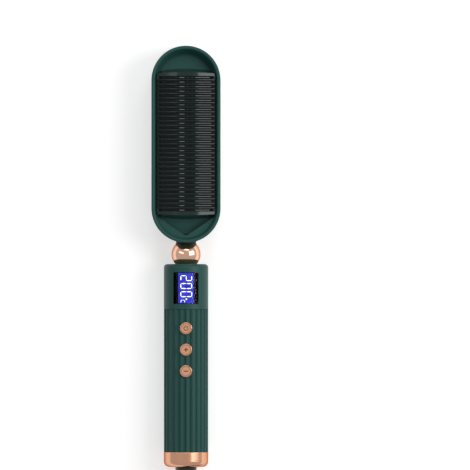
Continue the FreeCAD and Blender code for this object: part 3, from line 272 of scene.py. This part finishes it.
# ---------------------------------------------------------------- heater
# Ceramic heater under the plate with its mica pad, pressed up by a bent steel clamp; a
# thermistor and a one-shot cutoff beside it, and the glass-sleeved harness to the handle.
heater_ceramic = grained("heater_ceramic", colour=(0.62, 0.6, 0.55), roughness=0.6, scale=1800,
                         depth=0.3, cloud=0.1)
finish_nodes(heater_ceramic, "heating_element", "mica_pad", "thermistor", "thermal_cutoff")
glass_sleeve = grained("harness_sleeve", colour=(0.7, 0.68, 0.6), roughness=0.8, scale=2500,
                       depth=0.5, cloud=0.1)
finish_nodes(glass_sleeve, "heater_harness")
zinc_steel = grained("zinc_steel", colour=(0.56, 0.56, 0.57), roughness=0.32, scale=2500,
                     depth=0.08, cloud=0.15, Metallic=1.0)
finish_nodes(zinc_steel, "heater_clamp", "clamp_screws", "comb_screws")

# ---------------------------------------------------------------- trim ring
# A capsule ring of zinc alloy, polished and plated rose gold. It is pressed into the back of
# the shell, round the cover.
ROSE_TINT = (0.55, 0.28, 0.18, 1)
ROSE_PLATING = dict(colour=(0.79, 0.42, 0.27), roughness=0.22, scale=1500, depth=0.02, cloud=0.12,
                    Metallic=1.0, Specular_Tint=ROSE_TINT)
rose_gold = grained("rose_gold", **ROSE_PLATING)
finish_nodes(rose_gold, "trim_ring")

# ---------------------------------------------------------------- back cover
# The panel inside the ring, moulded in the shell's green plastic with capsule ridges one
# inside the other. Four pegs on its inner face hold it in the shell.
finish_nodes(green_plastic, "back_cover")

# ---------------------------------------------------------------- neck
# A turned and plated ball between the head and the handle, with a black rubber seal. It is
# clamped by a threaded steel tube, with a nut, that the leads run through.
mirror_gold = grained("mirror_gold", colour=(0.92, 0.56, 0.40), roughness=0.14, scale=1500,
                      depth=0.01, cloud=0.12, Metallic=1.0, Specular_Tint=ROSE_TINT)
finish_nodes(mirror_gold, "neck_ball")
black_rubber = grained("black_rubber", colour=(0.012, 0.012, 0.013), roughness=0.55, scale=2600,
                       depth=0.25, cloud=0.2)
finish_nodes(black_rubber, "neck_seal")
finish_nodes(zinc_steel, "neck_tube", "neck_nut")

# ---------------------------------------------------------------- collar
# The smooth sleeve round the display, moulded in the head's plastic and closed towards the
# neck. The grip's spigot fits into its open end.
finish_nodes(green_plastic, "collar_sleeve")

# ---------------------------------------------------------------- display
# A curved clear lens over a black film with a slot; under the slot a blue liquid crystal
# panel that shows the heat in white bars, read from the neck towards the buttons.
lens_clear, _, shader = new_material("lens_clear")
shader.inputs["Base Color"].default_value = (1, 1, 1, 1)
shader.inputs["Roughness"].default_value = 0.0
shader.inputs["IOR"].default_value = 1.1
shader.inputs["Transmission Weight"].default_value = 1.0
finish_nodes(lens_clear, "display_lens")
mask_ink = grained("mask_ink", colour=(0.002, 0.002, 0.003), roughness=0.4, scale=3000,
                   depth=0.03, cloud=0.2, Specular_IOR_Level=0.1)
finish_nodes(mask_ink, "display_mask")

DEEP_BLUE = (0.028, 0.03, 0.46, 1)
BRIGHT_BLUE = (0.06, 0.075, 0.72, 1)
PATCH_SCALE = 260


def build_panel_glow():
    """The panel's blue light, uneven as edge lamps leave it."""
    material, position, shader = new_material("panel_glow")
    nodes, link = material.node_tree.nodes, material.node_tree.links.new
    patch = nodes.new("ShaderNodeTexNoise")
    patch.inputs["Scale"].default_value = PATCH_SCALE
    blue = nodes.new("ShaderNodeValToRGB")
    dark, bright = blue.color_ramp.elements
    dark.color, dark.position = DEEP_BLUE, 0.3
    bright.color, bright.position = BRIGHT_BLUE, 0.7
    link(position, patch.inputs["Vector"])
    link(patch.outputs["Fac"], blue.inputs["Fac"])
    link(blue.outputs["Color"], shader.inputs["Emission Color"])
    shader.inputs["Emission Strength"].default_value = 0.95
    shader.inputs["Base Color"].default_value = (0.003, 0.003, 0.02, 1)
    shader.inputs["Roughness"].default_value = 0.3
    shader.inputs["Specular IOR Level"].default_value = 0.03
    return material


finish_nodes(build_panel_glow(), "lcd_panel")

figure_light, _, shader = new_material("figure_light")
shader.inputs["Base Color"].default_value = (0.9, 0.92, 1, 1)
shader.inputs["Emission Color"].default_value = (0.95, 0.97, 1, 1)
shader.inputs["Emission Strength"].default_value = 0.85

FIGURE_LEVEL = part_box("lcd_panel")[1].z + 0.00004
FIGURE_HEIGHT = 0.0082
FIGURE_WIDTH = 0.0041
FIGURE_X = 0.0002
BAR = 0.0007
BAR_POINT = 0.3
LIT_BARS = {"2": "abged", "0": "abcdef", "C": "afed"}


def bar_places(width, height):
    """Middle, length and direction of a figure's seven bars, by their usual letters."""
    half = height / 2
    return {"a": ((0, half), width, 0), "g": ((0, 0), width, 0), "d": ((0, -half), width, 0),
            "f": ((-width / 2, half / 2), half, 1), "b": ((width / 2, half / 2), half, 1),
            "e": ((-width / 2, -half / 2), half, 1), "c": ((width / 2, -half / 2), half, 1)}


def add_bar(mesh, middle, length, upright, thick):
    """One lit bar with pointed ends; its figure's top is towards +X."""
    made = bmesh.ops.create_circle(mesh, cap_ends=True, segments=6, radius=thick / 2)["verts"]
    stretch = (length - thick) / 2 - thick * BAR_POINT
    for vert in made:
        if abs(vert.co.x) > 1e-5:
            vert.co.x += math.copysign(stretch, vert.co.x)
    if upright:
        bmesh.ops.rotate(mesh, verts=made, matrix=Matrix.Rotation(math.pi / 2, 3, "Z"))
    bmesh.ops.translate(mesh, verts=made, vec=(*middle, 0))
    bmesh.ops.rotate(mesh, verts=made, matrix=Matrix.Rotation(-math.pi / 2, 3, "Z"))
    return made


def add_figure(mesh, figure, width, height, thick, x, y):
    """One lit figure with its middle at x, y on the panel."""
    places = bar_places(width, height)
    for bar in LIT_BARS[figure]:
        middle, length, upright = places[bar]
        made = add_bar(mesh, middle, length, upright, thick)
        bmesh.ops.translate(mesh, verts=made, vec=(x, y, FIGURE_LEVEL))


def add_ring(mesh, segments, radius, hole):
    """A flat ring round the origin; its hole is given as a share of its radius."""
    outer = bmesh.ops.create_circle(mesh, segments=segments, radius=radius)["verts"]
    edges = [edge for edge in mesh.edges if edge.verts[0] in outer]
    grown = bmesh.ops.extrude_edge_only(mesh, edges=edges)
    inner = [item for item in grown["geom"] if isinstance(item, bmesh.types.BMVert)]
    bmesh.ops.scale(mesh, verts=inner, vec=(hole, hole, 1))
    return outer + inner


def new_piece(name, mesh, material, body="brush"):
    """Makes a finished mesh into a piece that moves with its body."""
    data = bpy.data.meshes.new(name)
    mesh.to_mesh(data)
    mesh.free()
    data.materials.append(material)
    piece = bpy.data.objects.new(name, data)
    scene.collection.objects.link(piece)
    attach(piece, body)


figures = bmesh.new()
for figure, y in (("2", -0.0118), ("0", -0.0173), ("0", -0.0230)):
    add_figure(figures, figure, FIGURE_WIDTH - BAR, FIGURE_HEIGHT - BAR, BAR, FIGURE_X, y)
add_figure(figures, "C", width=0.0017, height=0.0026, thick=0.00042, x=-0.0022, y=-0.0280)
degree = add_ring(figures, segments=16, radius=0.0006, hole=0.45)
bmesh.ops.translate(figures, verts=degree, vec=(0.0003, -0.0265, FIGURE_LEVEL))
bmesh.ops.recalc_face_normals(figures, faces=figures.faces)
new_piece("display_figures", figures, figure_light)

# ---------------------------------------------------------------- handle innards
# The long circuit board with the parts on its two faces, the cradle that holds the display
# on it, and the brass contacts that take the mains from the swivel.
board_laminate = grained("board_laminate", colour=(0.02, 0.12, 0.05), roughness=0.35, scale=1500,
                         depth=0.1, cloud=0.2)
finish_nodes(board_laminate, "main_board")
black_nylon = grained("black_nylon", colour=(0.015, 0.015, 0.016), roughness=0.38, scale=3000,
                      depth=0.15, cloud=0.2)
finish_nodes(black_nylon, "display_cradle", "power_switch", "plus_switch", "minus_switch",
             "power_triac", "controller_chip", "buzzer", "film_capacitor")
milky_guide = grained("milky_guide", colour=(0.75, 0.78, 0.85), roughness=0.3, scale=1500,
                      depth=0.05, cloud=0.1)
finish_nodes(milky_guide, "backlight")
contact_brass = grained("contact_brass", colour=(0.7, 0.52, 0.25), roughness=0.25, scale=1800,
                        depth=0.05, cloud=0.2, Metallic=1.0)
finish_nodes(contact_brass, "swivel_contacts")
finish_nodes(zinc_steel, "board_screws", "mains_fuse")
finish_nodes(glass_sleeve, "mains_wires")

# ---------------------------------------------------------------- grip
# Two fluted half shells in the green plastic, closed by two screws under the end ring. The
# flutes have crisp walls, and the ridges are a little smoother than the flutes between them.
HANDLE_AXIS = sum(corner.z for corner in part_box("collar_sleeve")) / 2
RIDGE_RADIUS = 0.0154
WALL_HEIGHT = 0.0005


def build_flute_mask():
    """How deep a place lies in the flutes, from 0 on a ridge to 1 at the foot of its wall."""
    group, given, result = effect("flute_mask", [("Position", "NodeSocketVector", (0, 0, 0))],
                                  [("Flute", "NodeSocketFloat")])
    nodes, link = group.nodes, group.links.new
    split = nodes.new("ShaderNodeSeparateXYZ")
    across = nodes.new("ShaderNodeCombineXYZ")
    away = nodes.new("ShaderNodeVectorMath")
    away.operation = "DISTANCE"
    away.inputs[1].default_value = (0, 0, HANDLE_AXIS)
    depth = nodes.new("ShaderNodeMapRange")
    depth.inputs["From Min"].default_value = RIDGE_RADIUS
    depth.inputs["From Max"].default_value = RIDGE_RADIUS - WALL_HEIGHT
    link(given.outputs["Position"], split.inputs[0])
    link(split.outputs["X"], across.inputs["X"])
    link(split.outputs["Z"], across.inputs["Z"])
    link(across.outputs[0], away.inputs[0])
    link(away.outputs["Value"], depth.inputs["Value"])
    link(depth.outputs["Result"], result.inputs["Flute"])
    return group


def two_finishes(material, mask, first, second, **given):
    """Lets a mask group choose between two roughnesses of a material."""
    nodes, link = material.node_tree.nodes, material.node_tree.links.new
    skin = next(node for node in nodes if node.type == "GROUP")
    place = next(node for node in nodes if node.type == "TEX_COORD")
    chooser = nodes.new("ShaderNodeGroup")
    chooser.node_tree = mask
    for socket, value in given.items():
        chooser.inputs[socket].default_value = value
    polish = nodes.new("ShaderNodeMapRange")
    polish.inputs["To Min"].default_value = first
    polish.inputs["To Max"].default_value = second
    link(place.outputs["Object"], chooser.inputs["Position"])
    link(chooser.outputs[0], polish.inputs["Value"])
    link(polish.outputs["Result"], skin.inputs["Roughness"])


def crisp_walls(material, mask, depth):
    """Sharpens a material's relief where a mask group changes, under its own grain."""
    nodes, link = material.node_tree.nodes, material.node_tree.links.new
    skin = next(node for node in nodes if node.type == "GROUP" and node.node_tree != mask)
    relief = next(node for node in nodes if node.type == "GROUP" and node.node_tree == mask)
    wall = nodes.new("ShaderNodeBump")
    wall.invert = True
    wall.inputs["Strength"].default_value = 1.0
    wall.inputs["Distance"].default_value = depth
    link(relief.outputs[0], wall.inputs["Height"])
    link(skin.outputs["Normal"], wall.inputs["Normal"])
    link(wall.outputs["Normal"], nodes["Principled BSDF"].inputs["Normal"])


grip_plastic = grained("grip_plastic", **SATIN_GREEN)
flute_mask = build_flute_mask()
two_finishes(grip_plastic, flute_mask, first=0.38, second=0.52)
crisp_walls(grip_plastic, flute_mask, WALL_HEIGHT)
finish_nodes(grip_plastic, "grip_front", "grip_rear")
finish_nodes(zinc_steel, "handle_screws")

# ---------------------------------------------------------------- buttons
# Plated caps with a polished rim and a satin-turned dish, each over a nylon plunger; the
# marks are pressed into the dish and lacquered dark.
RIM_EDGE = 0.0034
DISH_EDGE = 0.0029
DISH_DEPTH = 0.0004
MARK_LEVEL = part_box("power_button")[1].z - DISH_DEPTH + 0.00005
STROKE_LENGTH = 0.0032
STROKE_WIDTH = 0.0006


def build_dish_mask():
    """One inside the dish of the button at Centre, nothing on its rim."""
    group, given, result = effect("dish_mask", [
        ("Position", "NodeSocketVector", (0, 0, 0)), ("Centre", "NodeSocketFloat", 0.0)],
        [("Dish", "NodeSocketFloat")])
    nodes, link = group.nodes, group.links.new
    split = nodes.new("ShaderNodeSeparateXYZ")
    above = nodes.new("ShaderNodeCombineXYZ")
    middle = nodes.new("ShaderNodeCombineXYZ")
    away = nodes.new("ShaderNodeVectorMath")
    away.operation = "DISTANCE"
    inside = nodes.new("ShaderNodeMapRange")
    inside.inputs["From Min"].default_value = RIM_EDGE
    inside.inputs["From Max"].default_value = DISH_EDGE
    link(given.outputs["Position"], split.inputs[0])
    link(split.outputs["X"], above.inputs["X"])
    link(split.outputs["Y"], above.inputs["Y"])
    link(given.outputs["Centre"], middle.inputs["Y"])
    link(above.outputs[0], away.inputs[0])
    link(middle.outputs[0], away.inputs[1])
    link(away.outputs["Value"], inside.inputs["Value"])
    link(inside.outputs["Result"], result.inputs["Dish"])
    return group


def middle_y(node):
    """Where a cap's middle lies along the handle."""
    low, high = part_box(node)
    return (low.y + high.y) / 2


dish_mask = build_dish_mask()
for button in ("power_button", "plus_button", "minus_button"):
    cap_gold = grained(f"{button}_gold", **ROSE_PLATING)
    two_finishes(cap_gold, dish_mask, first=0.16, second=0.42, Centre=middle_y(button))
    finish_nodes(cap_gold, button)
finish_nodes(black_nylon, "power_plunger", "plus_plunger", "minus_plunger")
mark_lacquer = grained("mark_lacquer", colour=(0.03, 0.013, 0.009), roughness=0.4, scale=3000,
                       depth=0.05, cloud=0.1)


def add_stroke(mesh, y, width, length):
    """One straight stroke of a mark, lying in the dish."""
    made = bmesh.ops.create_grid(mesh, x_segments=1, y_segments=1, size=0.5)["verts"]
    bmesh.ops.scale(mesh, verts=made, vec=(width, length, 1))
    bmesh.ops.translate(mesh, verts=made, vec=(0, y, MARK_LEVEL))


power_y = middle_y("power_button")
power_mark = bmesh.new()
add_ring(power_mark, segments=40, radius=0.0017, hole=0.72)
gap = [face for face in power_mark.faces
       if face.calc_center_median().y > 0 and abs(face.calc_center_median().x) < 0.0006]
bmesh.ops.delete(power_mark, geom=gap, context="FACES")
bmesh.ops.translate(power_mark, verts=power_mark.verts, vec=(0, power_y, MARK_LEVEL))
add_stroke(power_mark, power_y + 0.0011, width=0.00045, length=0.0018)
new_piece("power_mark", power_mark, mark_lacquer, body="power_key")

plus_mark = bmesh.new()
add_stroke(plus_mark, middle_y("plus_button"), STROKE_LENGTH, STROKE_WIDTH)
add_stroke(plus_mark, middle_y("plus_button"), STROKE_WIDTH, STROKE_LENGTH)
new_piece("plus_mark", plus_mark, mark_lacquer, body="plus_key")

minus_mark = bmesh.new()
add_stroke(minus_mark, middle_y("minus_button"), STROKE_LENGTH, STROKE_WIDTH)
new_piece("minus_mark", minus_mark, mark_lacquer, body="minus_key")

# ---------------------------------------------------------------- end ring and swivel
# A plated cap closes the handle. The black cone's spindle turns in it, held by a steel clip
# inside, so that the lead can't twist.
finish_nodes(rose_gold, "end_ring")
finish_nodes(black_nylon, "swivel_cone")
finish_nodes(zinc_steel, "swivel_clip")

# ---------------------------------------------------------------- mains lead
# Black rubber lead, six millimetres thick and 1.8 metres long: a ribbed strain relief, a loose
# bend, a tied coil of seven turns in two layers, and a two-pin plug beside it.
finish_nodes(black_rubber, "strain_relief", "cord_tie", "plug_body")
pin_nickel = grained("pin_nickel", colour=(0.66, 0.63, 0.57), roughness=0.2, scale=1800,
                     depth=0.04, cloud=0.15, Metallic=1.0)
finish_nodes(pin_nickel, "plug_pins")

LEAD_DIAMETER = 0.006
LEAD_ROUTE = [(0.052, -0.1856, 0.004), (0.06595, -0.18578, 0.00319), (0.0793, -0.1933, 0.0031),
              (0.0868, -0.2068, 0.0032), (0.0865, -0.2218, 0.00345)]
TAIL_ROUTE = [(0.06262, -0.28149, 0.0096), (0.05483, -0.28599, 0.0096),
              (0.040974, -0.29399, 0.00685), (0.03318, -0.29849, 0.00685)]
COIL_CENTRE = Vector((0.03925, -0.241, 0))
INNER_RADIUS = 0.02525
TABLE_LAYER = 0.0036
TURN_POINTS = 18
MIDDLE_TURN = 43 / 12
CLIMB_START = 3.25
CLIMB_TURNS = 0.5


def coil_points():
    """A spiral in on the table and out again on top of itself, its turns a diameter apart."""
    points = []
    for step in range(int(2 * MIDDLE_TURN * TURN_POINTS)):
        turn = step / TURN_POINTS
        radius = INNER_RADIUS + LEAD_DIAMETER * abs(turn - MIDDLE_TURN)
        radius /= math.cos(math.pi / TURN_POINTS)
        climb = min(max(turn - CLIMB_START, 0) / CLIMB_TURNS, 1)
        angle = -2 * math.pi * turn
        points.append(COIL_CENTRE + Vector((radius * math.cos(angle), radius * math.sin(angle),
                                            TABLE_LAYER + LEAD_DIAMETER * climb)))
    return points


curve = bpy.data.curves.new("mains_lead", "CURVE")
curve.dimensions = "3D"
curve.bevel_depth = LEAD_DIAMETER / 2
curve.bevel_resolution = 5
curve.resolution_u = 6
route = [*map(Vector, LEAD_ROUTE), *coil_points(), *map(Vector, TAIL_ROUTE)]
spline = curve.splines.new("NURBS")
spline.points.add(len(route) - 1)
for point, place in zip(spline.points, route):
    point.co = (*place, 1)
spline.order_u = 3
spline.use_endpoint_u = True
curve.materials.append(black_rubber)
lead = bpy.data.objects.new("mains_lead", curve)
scene.collection.objects.link(lead)
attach(lead, "brush")
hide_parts("cord_lead", "cord_coil", "cord_tail")
